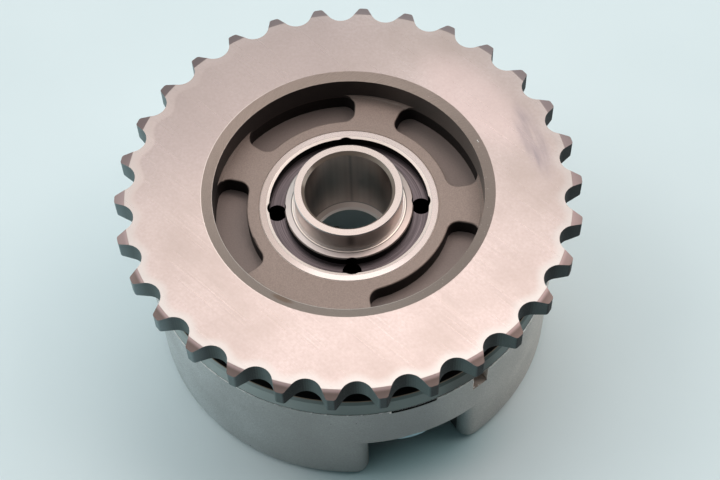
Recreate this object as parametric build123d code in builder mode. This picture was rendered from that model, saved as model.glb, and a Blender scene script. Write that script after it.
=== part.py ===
"""Vane-type cam phaser with a chain sprocket, a windowed drum and a rotor that turns inside it.

The frame stands on the rotor axis with Z up, and its origin is where the skirt of the drum rests.
Sizes are in millimetres. Angles are in degrees, counted from +X towards +Y, seen from above.
"""
import os
from math import cos, pi, radians, sin

from build123d import *

os.makedirs("parts", exist_ok=True)

# Stack of heights, from the bottom of the skirt up to the sprocket face
cover_inset = 12.0
cover_thickness = 5.0
chamber_height = 11.3
flange_thickness = 4.9
undercut_height = 6.2
tooth_width = 5.1

# Chain teeth
tooth_count = 30
chain_pitch = 9.525
seat_radius = 3.18
seat_half_angle = 58.0
tooth_addendum = 0.54
tip_corner_radius = 0.6
tooth_phase = -5.67
tooth_chamfer_width = 2.1
tooth_chamfer_depth = 0.5

# Sprocket body
flange_inset = 0.1
undercut_depth = 4.0
neck_fillet = 1.0
flange_rim_width = 0.5
flange_rim_depth = 0.8

# Recess in the sprocket face
recess_depth = 5.7
recess_chamfer_width = 2.1
recess_chamfer_depth = 0.7
ledge_width = 0.7
ledge_height = 0.3

# Pressure chambers and the recess pockets that lie over them
chamber_centre_angles = (35.8, 113.4, 190.2, 312.8)
chamber_span_angles = (54.5, 55.7, 53.3, 68.1)
chamber_corner_radius = 1.0
pocket_wall = 2.42
pocket_width = 6.45
pocket_depth = 3.7
pocket_corner_radius = 2.4
pocket_rim_radius = 0.35

# Drum
drum_wall = 9.6
drum_edge_radius = 2.2
window_height = 15.5
window_start_angle = -87.0
window_span_angle = 29.0
window_corner_radius = 2.6
notch_angle = -54.0
notch_width = 3.6
notch_height = 4.8
notch_depth = 3.0
slit_start_angle = -80.7
slit_span_angle = 12.7
slit_height = 0.8
slit_depth = 2.5

# Front cover, whose land outside the chambers lies against the drum
cover_land = 1.6
cover_edge_chamfer = 0.5

# Rotor
rotor_shoulder = 3.02
vane_height = 11.0
vane_corner_radius = 1.3
rotor_travel_angle = 25.0
vane_play_angles = (1.0, 1.0, 1.0, 0.1)
face_rise = 0.1
front_hub_wall = 2.4
front_hub_drop = 1.8
bolt_seat_width = 3.2
bolt_seat_depth = 0.8
hub_edge_chamfer = 0.2

# End face and oil ways of the rotor
inner_land_width = 2.1
groove_width = 3.1
outer_land_width = 1.98
groove_depth = 2.2
groove_bevel_width = 0.6
groove_bevel_depth = 0.2
oil_hole_count = 4
oil_hole_radius = 1.9
oil_hole_phase = 0.7
cross_hole_radius = 1.25
upper_cross_drop = 4.3
lower_cross_drop = 9.4
cross_hole_lead_angle = 3.0

# Pilot sleeve and the cone below it, which leads into the bolt hole
sleeve_bore_radius = 8.7
sleeve_wall = 2.1
sleeve_press_step = 0.3
sleeve_rise = 5.1
sleeve_seat_depth = 12.3
sleeve_mouth_width = 0.6
sleeve_mouth_depth = 0.75
sleeve_edge_chamfer = 0.15
sleeve_lead_in = 0.1
bolt_cone_width = 1.3
bolt_cone_height = 1.3

# Screws and dowel
screw_circle_inset = 4.0
screw_radius = 2.5
screw_hole_play = 0.25
screw_head_overlap = 1.75
screw_head_height = 3.4
screw_edge_chamfer = 0.4
screw_socket_width = 4.0
screw_socket_depth = 2.2
screw_thread_length = 8.0
screw_end_gap = 0.6
wide_lobe_screw_angle = 16.5
dowel_radius = 2.0
dowel_half_length = 4.0
dowel_edge_chamfer = 0.4

# Tip seals and their leaf springs
seal_width = 2.4
seal_height_gap = 0.1
seal_side_gap = 0.03
vane_seal_thickness = 2.4
lobe_seal_thickness = 2.2
seal_spring_space = 0.6
leaf_thickness = 0.2
leaf_bow = 0.3
leaf_width = 1.8
leaf_length_share = 0.9
wide_vane_seal_angle = 14.0

# Lock pin
lock_circle_offset = 5.4
lock_pin_radius = 3.56
lock_shoulder_width = 0.56
lock_tip_reach = 2.0
lock_pin_room = 0.54
lock_shoulder_drop = 0.4
lock_pin_wall = 0.8
lock_pin_crown = 2.5
lock_tip_chamfer = 0.3
lock_pin_stroke = 3.2
lock_sleeve_wall = 1.0
lock_plug_thickness = 1.5
lock_vent_radius = 0.6
lock_spring_wire_radius = 0.25
lock_spring_play = 0.1
lock_spring_turn_count = 6
lock_track_step_count = 4
lock_track_clearance = 0.15

# Clearances
running_clearance = 0.05
press_clearance = 0.01
thread_clearance = 0.03
end_float = 0.03
overcut = 1.0

# Heights that follow from the stack
cover_top = cover_inset + cover_thickness
flange_bottom = cover_top + chamber_height
flange_top = flange_bottom + flange_thickness
teeth_bottom = flange_top + undercut_height
sprocket_top = teeth_bottom + tooth_width
recess_floor = sprocket_top - recess_depth
pocket_floor = recess_floor - pocket_depth
rotor_bottom = cover_top + end_float
rotor_top = flange_bottom - end_float
rotor_face = recess_floor + face_rise
groove_floor = rotor_face - groove_depth
sleeve_top = rotor_face + sleeve_rise
sleeve_bottom = rotor_face - sleeve_seat_depth
front_hub_bottom = cover_inset - front_hub_drop
lock_plug_top = rotor_bottom + lock_plug_thickness
lock_pin_bottom = lock_plug_top + lock_pin_room + lock_pin_stroke
lock_pin_top = rotor_top + lock_tip_reach

# Radii of the teeth
pitch_radius = chain_pitch / (2 * sin(pi / tooth_count))
tip_radius = pitch_radius + tooth_addendum

# Radii that follow each other, from the sleeve's bore out to the drum
sleeve_radius = sleeve_bore_radius + sleeve_wall
sleeve_press_radius = sleeve_radius + sleeve_press_step
sleeve_seat_radius = sleeve_press_radius + press_clearance
bolt_hole_radius = sleeve_bore_radius - bolt_cone_width
bolt_seat_radius = bolt_hole_radius + bolt_seat_width
front_hub_radius = bolt_seat_radius + front_hub_wall
cover_bore_radius = front_hub_radius + running_clearance
groove_inner_radius = sleeve_radius + inner_land_width
groove_outer_radius = groove_inner_radius + groove_width
oil_circle_radius = (groove_inner_radius + groove_outer_radius) / 2
journal_radius = groove_outer_radius + outer_land_width
sprocket_bore_radius = journal_radius + running_clearance
pocket_inner_radius = sprocket_bore_radius + pocket_wall
recess_radius = pocket_inner_radius + pocket_width
rotor_body_radius = journal_radius + rotor_shoulder
lobe_tip_radius = rotor_body_radius + running_clearance
chamber_radius = rotor_body_radius + vane_height
vane_tip_radius = chamber_radius - running_clearance
skirt_inner_radius = chamber_radius + cover_land
cover_radius = skirt_inner_radius - running_clearance
drum_radius = chamber_radius + drum_wall
flange_radius = drum_radius - flange_inset
neck_radius = flange_radius - undercut_depth

# Radii of the screws and the lock pin
screw_circle_radius = chamber_radius - screw_circle_inset
screw_hole_radius = screw_radius + screw_hole_play
screw_head_radius = screw_radius + screw_head_overlap
lock_circle_radius = rotor_body_radius + lock_circle_offset
lock_tip_radius = lock_pin_radius - lock_shoulder_width
lock_pin_bore_radius = lock_tip_radius - lock_pin_wall
lock_spring_radius = lock_pin_bore_radius - lock_spring_play - lock_spring_wire_radius
lock_sleeve_bore_radius = lock_pin_radius + running_clearance
lock_sleeve_radius = lock_sleeve_bore_radius + lock_sleeve_wall
lock_bore_radius = lock_sleeve_radius + press_clearance

# Angles that follow from the chambers
full_turn_angle = 360.0
chamber_count = len(chamber_centre_angles)
chambers = list(zip(chamber_centre_angles, chamber_span_angles))
chamber_starts = [centre - span / 2 for centre, span in chambers]
chamber_ends = [centre + span / 2 for centre, span in chambers]
next_starts = chamber_starts[1:] + [chamber_starts[0] + full_turn_angle]
lobe_centres = [(end + start) / 2 for end, start in zip(chamber_ends, next_starts)]
vane_starts = [start + play for start, play in zip(chamber_starts, vane_play_angles)]
vane_rooms = [span - 2 * play for span, play in zip(chamber_span_angles, vane_play_angles)]
vane_spans = [room - rotor_travel_angle for room in vane_rooms]
vane_centres = [start + span / 2 for start, span in zip(vane_starts, vane_spans)]
wide_chamber = chamber_span_angles.index(max(chamber_span_angles))
wide_lobe = (wide_chamber - 1) % chamber_count
lock_angle = vane_centres[wide_chamber]
lock_flush_angle = rotor_travel_angle * lock_tip_reach / lock_pin_stroke
screw_angles = [angle for index, angle in enumerate(lobe_centres) if index != wide_lobe]
screw_angles += [lobe_centres[wide_lobe] - wide_lobe_screw_angle]
screw_angles += [lobe_centres[wide_lobe] + wide_lobe_screw_angle]
dowel_angle = lobe_centres[wide_lobe]
vane_seal_angles = list(vane_centres)
vane_seal_angles[wide_chamber] += wide_vane_seal_angle


def polar(radius, angle, height=0.0):
    """Gives the point at a radius and an angle about the rotor axis."""
    return (radius * cos(radians(angle)), radius * sin(radians(angle)), height)


def turned_plane(angle, height=0.0):
    """Gives a level plane on the axis whose X points along the angle."""
    return Plane(origin=(0, 0, height), x_dir=polar(1, angle), z_dir=(0, 0, 1))


def upright_plane(angle):
    """Gives the plane through the axis whose X points along the angle and whose Y is up."""
    return Plane(origin=(0, 0, 0), x_dir=polar(1, angle), z_dir=polar(1, angle - 90))


def sector(inner_radius, outer_radius, start, span):
    """Gives the flat sector of a ring, to be added to a sketch."""
    with BuildSketch() as outline:
        with BuildLine():
            inner_arc = CenterArc((0, 0), inner_radius, start, span)
            outer_arc = CenterArc((0, 0), outer_radius, start, span)
            Line(inner_arc @ 0, outer_arc @ 0)
            Line(inner_arc @ 1, outer_arc @ 1)
        make_face()
    return outline.sketch_local


def reach(edge):
    """Gives how far the middle of an edge lies from the rotor axis."""
    middle = edge @ 0.5
    return Vector(middle.X, middle.Y).length


def finish(builder, label):
    """Labels a finished piece and writes it under its label."""
    builder.part.label = label
    export_step(builder.part, f"parts/{label}.step")


# Sprocket: one tooth gap, drawn along +X, is a roller seat with straight flanks tangent to it
seat_cos = cos(radians(seat_half_angle))
seat_sin = sin(radians(seat_half_angle))
seat_end = (pitch_radius - seat_radius * seat_cos, seat_radius * seat_sin)
flank_run = (tip_radius + overcut - seat_end[0]) / seat_sin
flank_end = (tip_radius + overcut, seat_end[1] + flank_run * seat_cos)
with BuildSketch() as tooth_gap:
    with BuildLine():
        seat = ThreePointArc(
            (seat_end[0], -seat_end[1]), (pitch_radius - seat_radius, 0), seat_end
        )
        Polyline(seat @ 1, flank_end, (flank_end[0], -flank_end[1]), seat @ 0)
    make_face()

with BuildPart() as sprocket:
    with BuildSketch(Plane.XY.offset(teeth_bottom)) as tooth_plan:
        Circle(tip_radius)
        with PolarLocations(0, tooth_count, start_angle=tooth_phase):
            add(tooth_gap.sketch, mode=Mode.SUBTRACT)
        tip_corners = tooth_plan.vertices().filter_by(
            lambda corner: Vector(corner.X, corner.Y).length > tip_radius - press_clearance
        )
        fillet(tip_corners, tip_corner_radius)
    extrude(amount=tooth_width)
    # The sides of the teeth are turned to a shallow cone, which runs out past the tips
    run_out = tip_radius + overcut
    run_out_depth = tooth_chamfer_depth * (1 + overcut / tooth_chamfer_width)
    cone_start = tip_radius - tooth_chamfer_width
    with BuildSketch(Plane.XZ):
        with BuildLine():
            Polyline(
                (0, teeth_bottom),
                (cone_start, teeth_bottom),
                (run_out, teeth_bottom + run_out_depth),
                (run_out, sprocket_top - run_out_depth),
                (cone_start, sprocket_top),
                (0, sprocket_top),
                close=True,
            )
        make_face()
    revolve(axis=Axis.Z, mode=Mode.INTERSECT)
    # Neck and flange under the teeth
    with BuildSketch(Plane.XZ):
        with BuildLine():
            Polyline(
                (0, flange_bottom),
                (flange_radius, flange_bottom),
                (flange_radius, flange_top - flange_rim_depth),
                (flange_radius - flange_rim_width, flange_top),
                (neck_radius, flange_top),
                (neck_radius, teeth_bottom + tooth_width / 2),
                (0, teeth_bottom + tooth_width / 2),
                close=True,
            )
        make_face()
    revolve(axis=Axis.Z)
    neck_edges = sprocket.edges().filter_by(GeomType.CIRCLE).filter_by(
        lambda edge: abs(edge.radius - neck_radius) < press_clearance
    )
    fillet(neck_edges, neck_fillet)
    # Recess with its chamfer and the low ledge at the foot of its wall, and the rotor bore
    ledge_radius = recess_radius - ledge_width
    with BuildSketch(Plane.XZ):
        with BuildLine():
            Polyline(
                (0, flange_bottom - overcut),
                (sprocket_bore_radius, flange_bottom - overcut),
                (sprocket_bore_radius, recess_floor),
                (ledge_radius, recess_floor),
                (ledge_radius + ledge_height, recess_floor + ledge_height),
                (recess_radius, recess_floor + ledge_height),
                (recess_radius, sprocket_top - recess_chamfer_depth),
                (recess_radius + recess_chamfer_width, sprocket_top),
                (recess_radius + recess_chamfer_width, sprocket_top + overcut),
                (0, sprocket_top + overcut),
                close=True,
            )
        make_face()
    revolve(axis=Axis.Z, mode=Mode.SUBTRACT)
    # Kidney pockets in the recess floor, one over each chamber
    for start, span in zip(chamber_starts, chamber_span_angles):
        with BuildSketch(Plane.XY.offset(pocket_floor)) as pocket:
            add(sector(pocket_inner_radius, recess_radius, start, span))
            fillet(pocket.vertices(), pocket_corner_radius)
        extrude(amount=pocket_depth + overcut, mode=Mode.SUBTRACT)
    pocket_rims = sprocket.edges().filter_by_position(
        Axis.Z, recess_floor - press_clearance, recess_floor + press_clearance
    ).filter_by(
        lambda edge: pocket_inner_radius - overcut < reach(edge) < ledge_radius - press_clearance
    )
    fillet(pocket_rims, pocket_rim_radius)
    # Tapped holes and dowel hole in the underside
    with BuildSketch(Plane.XY.offset(flange_bottom)):
        for angle in screw_angles:
            with Locations(polar(screw_circle_radius, angle)):
                Circle(screw_radius + thread_clearance)
    extrude(amount=screw_thread_length + screw_end_gap, mode=Mode.SUBTRACT)
    with BuildSketch(Plane.XY.offset(flange_bottom)):
        with Locations(polar(screw_circle_radius, dowel_angle)):
            Circle(dowel_radius + press_clearance)
    extrude(amount=dowel_half_length + screw_end_gap, mode=Mode.SUBTRACT)
    # Stepped lock track: each longer slot is a step shallower, so the pin always has room
    for step in range(lock_track_step_count):
        slot_span = lock_flush_angle * (step + 1) / lock_track_step_count
        slot_depth = lock_tip_reach * (1 - step / lock_track_step_count) + lock_track_clearance
        slot_line = CenterArc((0, 0), lock_circle_radius, lock_angle, slot_span, mode=Mode.PRIVATE)
        with BuildSketch(Plane.XY.offset(flange_bottom)):
            SlotArc(slot_line, 2 * (lock_tip_radius + running_clearance))
        extrude(amount=slot_depth, mode=Mode.SUBTRACT)
finish(sprocket, "sprocket")

# Housing: a drum whose lobes part the chambers, and a skirt that the cover fits into
lobe_slot_radius = lobe_tip_radius + lobe_seal_thickness + seal_spring_space
with BuildPart() as housing:
    with BuildSketch():
        Circle(drum_radius)
        Circle(skirt_inner_radius, mode=Mode.SUBTRACT)
    extrude(amount=cover_top)
    with BuildSketch(Plane.XY.offset(cover_top)):
        Circle(drum_radius)
        Circle(lobe_tip_radius, mode=Mode.SUBTRACT)
    extrude(amount=chamber_height)
    for start, span in zip(chamber_starts, chamber_span_angles):
        with BuildSketch(Plane.XY.offset(cover_top)) as chamber:
            add(sector(lobe_tip_radius - overcut, chamber_radius, start, span))
            outer_corners = chamber.vertices().sort_by_distance((0, 0, cover_top))[-2:]
            fillet(outer_corners, chamber_corner_radius)
        extrude(amount=chamber_height, mode=Mode.SUBTRACT)
    with BuildSketch(Plane.XY.offset(cover_top)):
        for angle in screw_angles:
            with Locations(polar(screw_circle_radius, angle)):
                Circle(screw_hole_radius)
    extrude(amount=chamber_height, mode=Mode.SUBTRACT)
    with BuildSketch(Plane.XY.offset(flange_bottom)):
        with Locations(polar(screw_circle_radius, dowel_angle)):
            Circle(dowel_radius + press_clearance)
    extrude(amount=-(dowel_half_length + screw_end_gap), mode=Mode.SUBTRACT)
    for angle in lobe_centres:
        with BuildSketch(turned_plane(angle, cover_top)):
            with Locations(((lobe_slot_radius + lobe_tip_radius - overcut) / 2, 0)):
                Rectangle(
                    lobe_slot_radius - lobe_tip_radius + overcut, seal_width + 2 * seal_side_gap
                )
        extrude(amount=chamber_height, mode=Mode.SUBTRACT)
    # Window in the skirt, with rounded legs
    window_inner_radius = skirt_inner_radius - overcut
    run_out_radius = drum_radius + overcut
    with BuildSketch():
        add(sector(window_inner_radius, run_out_radius, window_start_angle, window_span_angle))
    extrude(amount=window_height, mode=Mode.SUBTRACT)
    leg_edges = housing.edges().filter_by(Axis.Z).filter_by(
        lambda edge: abs(reach(edge) - drum_radius) < press_clearance
    )
    fillet(leg_edges, window_corner_radius)
    foot_edges = housing.edges().filter_by_position(
        Axis.Z, -press_clearance, press_clearance
    ).filter_by(
        lambda edge: reach(edge) > drum_radius - window_corner_radius
    )
    fillet(foot_edges, drum_edge_radius)
    # Notch and slit in the upper edge
    with BuildSketch(turned_plane(notch_angle, flange_bottom)):
        with Locations((drum_radius, 0)):
            Rectangle(2 * notch_depth, notch_width)
    extrude(amount=-notch_height, mode=Mode.SUBTRACT)
    with BuildSketch(Plane.XY.offset(flange_bottom)):
        add(sector(drum_radius - slit_depth, run_out_radius, slit_start_angle, slit_span_angle))
    extrude(amount=-slit_height, mode=Mode.SUBTRACT)
finish(housing, "housing")

# Front cover: closes the chambers from below and carries the front hub of the rotor
with BuildPart() as front_cover:
    with BuildSketch(Plane.XY.offset(cover_inset)):
        Circle(cover_radius)
        Circle(cover_bore_radius, mode=Mode.SUBTRACT)
        for angle in screw_angles:
            with Locations(polar(screw_circle_radius, angle)):
                Circle(screw_hole_radius, mode=Mode.SUBTRACT)
    extrude(amount=cover_thickness)
    rim = front_cover.edges().filter_by(GeomType.CIRCLE).filter_by(
        lambda edge: edge.radius > front_hub_radius and edge.center().Z < cover_top - overcut
    )
    chamfer(rim, cover_edge_chamfer)
finish(front_cover, "front_cover")

# Cover screws: socket heads under the cover, threads in the sprocket flange
with BuildPart() as cover_screws:
    for angle in screw_angles:
        with BuildSketch(Plane.XY.offset(cover_inset)):
            with Locations(polar(screw_circle_radius, angle)):
                Circle(screw_head_radius)
        extrude(amount=-screw_head_height)
        with BuildSketch(Plane.XY.offset(cover_inset)):
            with Locations(polar(screw_circle_radius, angle)):
                Circle(screw_radius)
        extrude(amount=flange_bottom + screw_thread_length - cover_inset)
    head_rims = cover_screws.edges().filter_by(GeomType.CIRCLE).group_by(Axis.Z)[0]
    chamfer(head_rims, screw_edge_chamfer)
    thread_ends = cover_screws.edges().filter_by(GeomType.CIRCLE).group_by(Axis.Z)[-1]
    chamfer(thread_ends, screw_edge_chamfer)
    with BuildSketch(Plane.XY.offset(cover_inset - screw_head_height)):
        for angle in screw_angles:
            with Locations(polar(screw_circle_radius, angle)):
                RegularPolygon(screw_socket_width / 2, 6, major_radius=False)
    extrude(amount=screw_socket_depth, mode=Mode.SUBTRACT)
finish(cover_screws, "cover_screws")

# Dowel that sets the housing to the sprocket
with BuildPart() as locating_dowel:
    with BuildSketch(Plane.XY.offset(flange_bottom - dowel_half_length)):
        with Locations(polar(screw_circle_radius, dowel_angle)):
            Circle(dowel_radius)
    extrude(amount=2 * dowel_half_length)
    chamfer(locating_dowel.edges().filter_by(GeomType.CIRCLE), dowel_edge_chamfer)
finish(locating_dowel, "locating_dowel")

# Rotor: hub, vanes, oil groove with its drillings, seal slots and the lock pin bore
vane_slot_radius = vane_tip_radius - vane_seal_thickness - seal_spring_space
rotor_height = rotor_top - rotor_bottom
upper_cross_height = rotor_top - upper_cross_drop
lower_cross_height = rotor_top - lower_cross_drop
with BuildPart() as rotor:
    with BuildSketch(Plane.XZ):
        with BuildLine():
            Polyline(
                (0, front_hub_bottom),
                (front_hub_radius, front_hub_bottom),
                (front_hub_radius, rotor_bottom),
                (rotor_body_radius, rotor_bottom),
                (rotor_body_radius, rotor_top),
                (journal_radius, rotor_top),
                (journal_radius, rotor_face - hub_edge_chamfer),
                (journal_radius - hub_edge_chamfer, rotor_face),
                (0, rotor_face),
                close=True,
            )
        make_face()
    revolve(axis=Axis.Z)
    for start, span in zip(vane_starts, vane_spans):
        with BuildSketch(Plane.XY.offset(rotor_bottom)) as vane:
            add(sector(journal_radius, vane_tip_radius, start, span))
            outer_corners = vane.vertices().sort_by_distance((0, 0, rotor_bottom))[-2:]
            fillet(outer_corners, vane_corner_radius)
        extrude(amount=rotor_height)
    # Bolt hole, its cone, the sleeve seat and the bolt head's seat at the front
    with BuildSketch(Plane.XZ):
        with BuildLine():
            Polyline(
                (0, front_hub_bottom - overcut),
                (bolt_seat_radius, front_hub_bottom - overcut),
                (bolt_seat_radius, front_hub_bottom + bolt_seat_depth),
                (bolt_hole_radius, front_hub_bottom + bolt_seat_depth),
                (bolt_hole_radius, sleeve_bottom - bolt_cone_height),
                (sleeve_bore_radius, sleeve_bottom),
                (sleeve_seat_radius, sleeve_bottom),
                (sleeve_seat_radius, rotor_face - sleeve_lead_in),
                (sleeve_seat_radius + sleeve_lead_in, rotor_face),
                (sleeve_seat_radius + sleeve_lead_in, rotor_face + overcut),
                (0, rotor_face + overcut),
                close=True,
            )
        make_face()
    revolve(axis=Axis.Z, mode=Mode.SUBTRACT)
    # Oil groove, with a bevel on its outer edge
    with BuildSketch(Plane.XZ):
        with BuildLine():
            Polyline(
                (groove_inner_radius, groove_floor),
                (groove_outer_radius, groove_floor),
                (groove_outer_radius, rotor_face - groove_bevel_depth),
                (groove_outer_radius + groove_bevel_width, rotor_face),
                (groove_outer_radius + groove_bevel_width, rotor_face + overcut),
                (groove_inner_radius - hub_edge_chamfer, rotor_face + overcut),
                (groove_inner_radius - hub_edge_chamfer, rotor_face),
                (groove_inner_radius, rotor_face - hub_edge_chamfer),
                close=True,
            )
        make_face()
    revolve(axis=Axis.Z, mode=Mode.SUBTRACT)
    with BuildSketch(Plane.XY.offset(rotor_face)):
        with PolarLocations(oil_circle_radius, oil_hole_count, start_angle=oil_hole_phase):
            Circle(oil_hole_radius)
    extrude(amount=-(rotor_face - upper_cross_height + cross_hole_radius), mode=Mode.SUBTRACT)
    # Cross drillings: one from each oil hole, one from the bolt hole, beside every vane
    for index, start in enumerate(vane_starts):
        hole_angle = oil_hole_phase + index * full_turn_angle / oil_hole_count
        inner_point = Vector(polar(oil_circle_radius, hole_angle, upper_cross_height))
        exit_angle = start - cross_hole_lead_angle
        outer_point = Vector(polar(rotor_body_radius, exit_angle, upper_cross_height))
        run = outer_point - inner_point
        with BuildSketch(Plane(origin=inner_point, z_dir=run)):
            Circle(cross_hole_radius)
        extrude(amount=run.length + overcut, mode=Mode.SUBTRACT)
    for start, span in zip(vane_starts, vane_spans):
        side_angle = start + span + cross_hole_lead_angle
        with BuildSketch(Plane(origin=(0, 0, lower_cross_height), z_dir=polar(1, side_angle))):
            Circle(cross_hole_radius)
        extrude(amount=rotor_body_radius + overcut, mode=Mode.SUBTRACT)
    for angle in vane_seal_angles:
        with BuildSketch(turned_plane(angle, rotor_bottom)):
            with Locations(((vane_slot_radius + vane_tip_radius + overcut) / 2, 0)):
                Rectangle(
                    vane_tip_radius - vane_slot_radius + overcut, seal_width + 2 * seal_side_gap
                )
        extrude(amount=rotor_height, mode=Mode.SUBTRACT)
    with BuildSketch(Plane.XY.offset(rotor_bottom)):
        with Locations(polar(lock_circle_radius, lock_angle)):
            Circle(lock_bore_radius)
    extrude(amount=rotor_height, mode=Mode.SUBTRACT)
finish(rotor, "rotor")

# Pilot sleeve: a turned tube, thicker where it is pressed into the rotor, down to the cone
with BuildPart() as pilot_sleeve:
    with BuildSketch(Plane.XZ):
        with BuildLine():
            Polyline(
                (sleeve_bore_radius, sleeve_bottom),
                (sleeve_press_radius, sleeve_bottom),
                (sleeve_press_radius, rotor_face),
                (sleeve_radius, rotor_face),
                (sleeve_radius, sleeve_top - sleeve_edge_chamfer),
                (sleeve_radius - sleeve_edge_chamfer, sleeve_top),
                (sleeve_bore_radius + sleeve_mouth_width, sleeve_top),
                (sleeve_bore_radius, sleeve_top - sleeve_mouth_depth),
                close=True,
            )
        make_face()
    revolve(axis=Axis.Z)
finish(pilot_sleeve, "pilot_sleeve")


def build_seal(label, angle, inner_radius, outer_radius, low, high):
    """Makes a seal bar between two radii, with its outer face curved about the rotor axis."""
    with BuildPart() as seal:
        with BuildSketch(turned_plane(angle, low)):
            with Locations(((inner_radius + outer_radius) / 2, 0)):
                Rectangle(outer_radius - inner_radius, seal_width)
            Circle(outer_radius, mode=Mode.INTERSECT)
        extrude(amount=high - low)
    finish(seal, label)


def build_leaf_spring(label, angle, inner_radius, low, high):
    """Makes a bowed leaf that fills the space between a slot's floor and its seal."""
    middle = (low + high) / 2
    half_length = leaf_length_share * (high - low) / 2
    near = inner_radius + (seal_spring_space - leaf_thickness - leaf_bow) / 2
    with BuildPart() as leaf:
        with BuildSketch(upright_plane(angle)):
            with BuildLine():
                inner_curve = ThreePointArc(
                    (near, middle - half_length),
                    (near + leaf_bow, middle),
                    (near, middle + half_length),
                )
                outer_curve = ThreePointArc(
                    (near + leaf_thickness, middle - half_length),
                    (near + leaf_thickness + leaf_bow, middle),
                    (near + leaf_thickness, middle + half_length),
                )
                Line(inner_curve @ 0, outer_curve @ 0)
                Line(inner_curve @ 1, outer_curve @ 1)
            make_face()
        extrude(amount=leaf_width / 2, both=True)
    finish(leaf, label)


# Tip seals with their leaf springs, numbered in the order of the chambers
for number, angle in enumerate(vane_seal_angles, start=1):
    seal_outer_radius = chamber_radius - seal_side_gap
    seal_inner_radius = seal_outer_radius - vane_seal_thickness
    low = rotor_bottom + seal_height_gap
    high = rotor_top - seal_height_gap
    build_seal(f"vane_seal_{number}", angle, seal_inner_radius, seal_outer_radius, low, high)
    build_leaf_spring(f"vane_seal_spring_{number}", angle, vane_slot_radius, low, high)
for number, angle in enumerate(lobe_centres, start=1):
    seal_inner_radius = rotor_body_radius + seal_side_gap
    seal_outer_radius = seal_inner_radius + lobe_seal_thickness
    low = cover_top + seal_height_gap
    high = flange_bottom - seal_height_gap
    build_seal(f"lobe_seal_{number}", angle, seal_inner_radius, seal_outer_radius, low, high)
    build_leaf_spring(f"lobe_seal_spring_{number}", angle, seal_outer_radius, low, high)

# Lock pin with its sleeve, spring and plug, all in the wide vane
lock_plane = Plane(origin=polar(lock_circle_radius, lock_angle), z_dir=(0, 0, 1))
lock_pin_bore_top = lock_pin_top - lock_pin_crown
with BuildPart() as lock_sleeve:
    with BuildSketch(lock_plane.offset(lock_plug_top)):
        Circle(lock_sleeve_radius)
        Circle(lock_sleeve_bore_radius, mode=Mode.SUBTRACT)
    extrude(amount=rotor_top - lock_plug_top)
finish(lock_sleeve, "lock_sleeve")

with BuildPart() as lock_plug:
    with BuildSketch(lock_plane.offset(rotor_bottom)):
        Circle(lock_sleeve_radius)
        Circle(lock_vent_radius, mode=Mode.SUBTRACT)
    extrude(amount=lock_plug_thickness)
finish(lock_plug, "lock_plug")

with BuildPart() as lock_pin:
    with BuildSketch(lock_plane.offset(lock_pin_bottom)):
        Circle(lock_pin_radius)
    extrude(amount=rotor_top - lock_shoulder_drop - lock_pin_bottom)
    with BuildSketch(lock_plane.offset(lock_pin_bottom)):
        Circle(lock_tip_radius)
    extrude(amount=lock_pin_top - lock_pin_bottom)
    chamfer(lock_pin.edges().group_by(Axis.Z)[-1], lock_tip_chamfer)
    with BuildSketch(lock_plane.offset(lock_pin_bottom)):
        Circle(lock_pin_bore_radius)
    extrude(amount=lock_pin_bore_top - lock_pin_bottom, mode=Mode.SUBTRACT)
finish(lock_pin, "lock_pin")

spring_bottom = lock_plug_top + lock_spring_wire_radius + press_clearance
spring_top = lock_pin_bore_top - lock_spring_wire_radius - press_clearance
spring_height = spring_top - spring_bottom
with BuildPart() as lock_spring:
    with BuildLine(lock_plane.offset(spring_bottom)):
        coil = Helix(spring_height / lock_spring_turn_count, spring_height, lock_spring_radius)
    with BuildSketch(Plane(origin=coil @ 0, z_dir=coil % 0)):
        Circle(lock_spring_wire_radius)
    sweep(is_frenet=True)
finish(lock_spring, "lock_spring")
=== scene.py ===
"""Looks of a cam phaser: the finishes of its ground, blasted and turned parts, its burrs, lock spring and stage.

Lengths are in millimetres where a name ends in _mm and in every zone, fade and patch, and in metres elsewhere. Angles
are in degrees, counted from +X towards +Y and seen from above.
"""
import logging
import math
from dataclasses import dataclass, field
from enum import Enum

import bpy
import numpy as np
from mathutils import Matrix, Vector


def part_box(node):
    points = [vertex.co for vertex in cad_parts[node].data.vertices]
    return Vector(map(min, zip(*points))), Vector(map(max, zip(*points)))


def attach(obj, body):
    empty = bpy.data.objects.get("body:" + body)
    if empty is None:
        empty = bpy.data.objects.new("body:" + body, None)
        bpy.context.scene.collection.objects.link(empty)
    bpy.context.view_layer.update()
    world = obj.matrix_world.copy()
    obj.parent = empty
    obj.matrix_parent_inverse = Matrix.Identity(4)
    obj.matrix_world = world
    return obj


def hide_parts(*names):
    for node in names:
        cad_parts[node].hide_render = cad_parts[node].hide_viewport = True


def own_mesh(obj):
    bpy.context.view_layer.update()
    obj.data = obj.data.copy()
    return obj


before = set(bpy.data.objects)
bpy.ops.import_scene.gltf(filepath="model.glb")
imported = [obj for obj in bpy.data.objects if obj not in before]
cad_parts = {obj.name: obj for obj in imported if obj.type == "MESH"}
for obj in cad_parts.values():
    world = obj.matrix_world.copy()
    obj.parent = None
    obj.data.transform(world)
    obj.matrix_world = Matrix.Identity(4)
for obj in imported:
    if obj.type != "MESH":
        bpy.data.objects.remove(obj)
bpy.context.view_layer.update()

MM = 0.001
# A length past the part in any direction, in millimetres, and a value past any mottle
FAR = 60.0
ABOVE = 2.0
LOG = logging.getLogger("cam_phaser")

Socket = bpy.types.NodeSocket
Rgba = tuple[float, float, float, float]
Limits = tuple[float, float, float]


class Body(Enum):
    """The bodies of the frame that the new pieces ride on."""

    HOUSING = "housing"
    LOCK_PIN = "lock_pin"


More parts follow.
